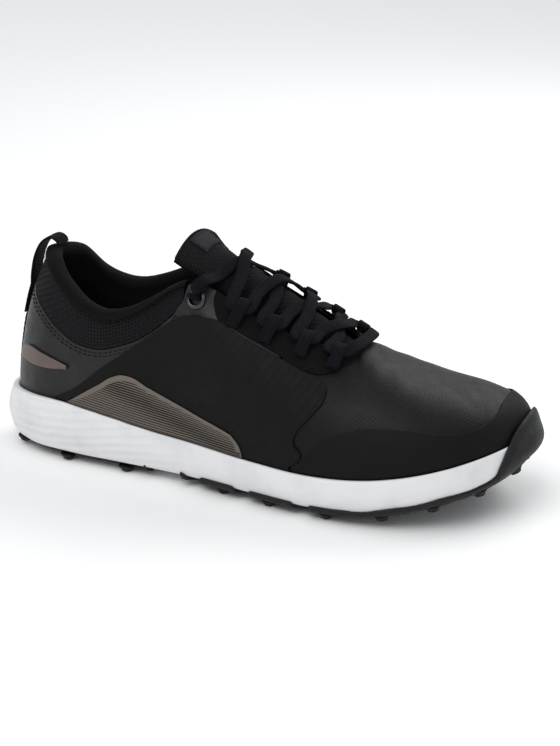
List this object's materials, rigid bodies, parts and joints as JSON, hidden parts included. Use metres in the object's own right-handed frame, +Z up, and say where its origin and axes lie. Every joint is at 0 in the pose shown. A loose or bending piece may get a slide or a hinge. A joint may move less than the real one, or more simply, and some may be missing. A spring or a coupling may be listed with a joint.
{
  "type": "golf shoe",
  "caption": "Low-cut spikeless golf shoe for the right foot: layered black upper, laced throat with tongue, padded collar, white foam midsole and studded rubber outsole.",
  "frame": {"origin": "centre of the bounding box in plan, on the ground under the stud tips", "axes": "+X towards the toe, +Z up, -Y to the lateral (little toe) side of this right shoe"},
  "size_m": [0.3008, 0.1128, 0.1291],
  "materials": {
    "upper_leather": "soft grained black leather",
    "overlay": "matte black coated microfibre",
    "striped_film": "bronze-grey film with fine dark stripes",
    "badge": "bronze-grey moulded film",
    "mesh_textile": "black knitted mesh",
    "lining": "smooth black lining textile",
    "foam": "open-cell padding foam",
    "stiffener": "thermoplastic sheet",
    "midsole_foam": "white moulded EVA foam",
    "outsole_rubber": "matte black rubber",
    "board": "non-woven insole board",
    "sockliner": "textile-topped foam",
    "tongue_skin": "black textile with a coated lower part",
    "label": "blank woven label",
    "webbing": "dark woven webbing",
    "eyelet_metal": "dark plated metal",
    "lace": "flat woven lace",
    "aglet": "clear-coated black plastic"
  },
  "bodies": {
    "shoe": {"vamp": "upper_leather", "quarter_lateral": "upper_leather", "collar_textile_lateral": "mesh_textile", "quarter_medial": "upper_leather", "collar_textile_medial": "mesh_textile", "saddle_lateral": "overlay", "film_lateral": "striped_film", "badge_lateral": "badge", "eyestay_lateral": "mesh_textile", "saddle_medial": "overlay", "film_medial": "striped_film", "badge_medial": "badge", "eyestay_medial": "mesh_textile", "mudguard": "overlay", "heel_strip": "overlay", "heel_counter": "stiffener", "toe_puff": "stiffener", "vamp_lining": "lining", "collar_lining": "lining", "collar_foam": "foam", "midsole": "midsole_foam", "outsole_forefoot": "outsole_rubber", "outsole_heel": "outsole_rubber", "strobel_board": "board", "lace_loop_lateral_1": "webbing", "lace_loop_lateral_2": "webbing", "lace_loop_lateral_3": "webbing", "lace_loop_lateral_4": "webbing", "eyelet_ring_lateral": "eyelet_metal", "lace_loop_medial_1": "webbing", "lace_loop_medial_2": "webbing", "lace_loop_medial_3": "webbing", "lace_loop_medial_4": "webbing", "eyelet_ring_medial": "eyelet_metal", "lace": "lace", "aglet_medial": "aglet", "aglet_lateral": "aglet", "heel_tape": "webbing"},
    "tongue": {"tongue_skin": "tongue_skin", "tongue_foam": "foam", "tongue_lining": "lining", "tongue_label": "label"},
    "sockliner": {"sockliner": "sockliner"},
    "pull_loop": {"pull_loop": "webbing"}
  },
  "joints": [
    {"name": "tongue_press", "type": "hinge", "parent": "shoe", "child": "tongue", "pos_m": [0.06973, -0.00173, 0.0683], "axis": [0, 1, 0], "range_deg": [-2.8, 0], "stiffness_Nm_per_rad": 0.4, "springref_deg": 5.73},
    {"name": "sockliner_lift", "type": "hinge", "parent": "shoe", "child": "sockliner", "pos_m": [0.1363, -0.00173, 0.0377], "axis": [0, 1, 0], "range_deg": [0, 5]},
    {"name": "pull_loop_tip", "type": "hinge", "parent": "shoe", "child": "pull_loop", "pos_m": [-0.13605, -0.00173, 0.0902], "axis": [0, 1, 0], "range_deg": [-8, 0], "stiffness_Nm_per_rad": 0.02, "springref_deg": 1.72}
  ]
}
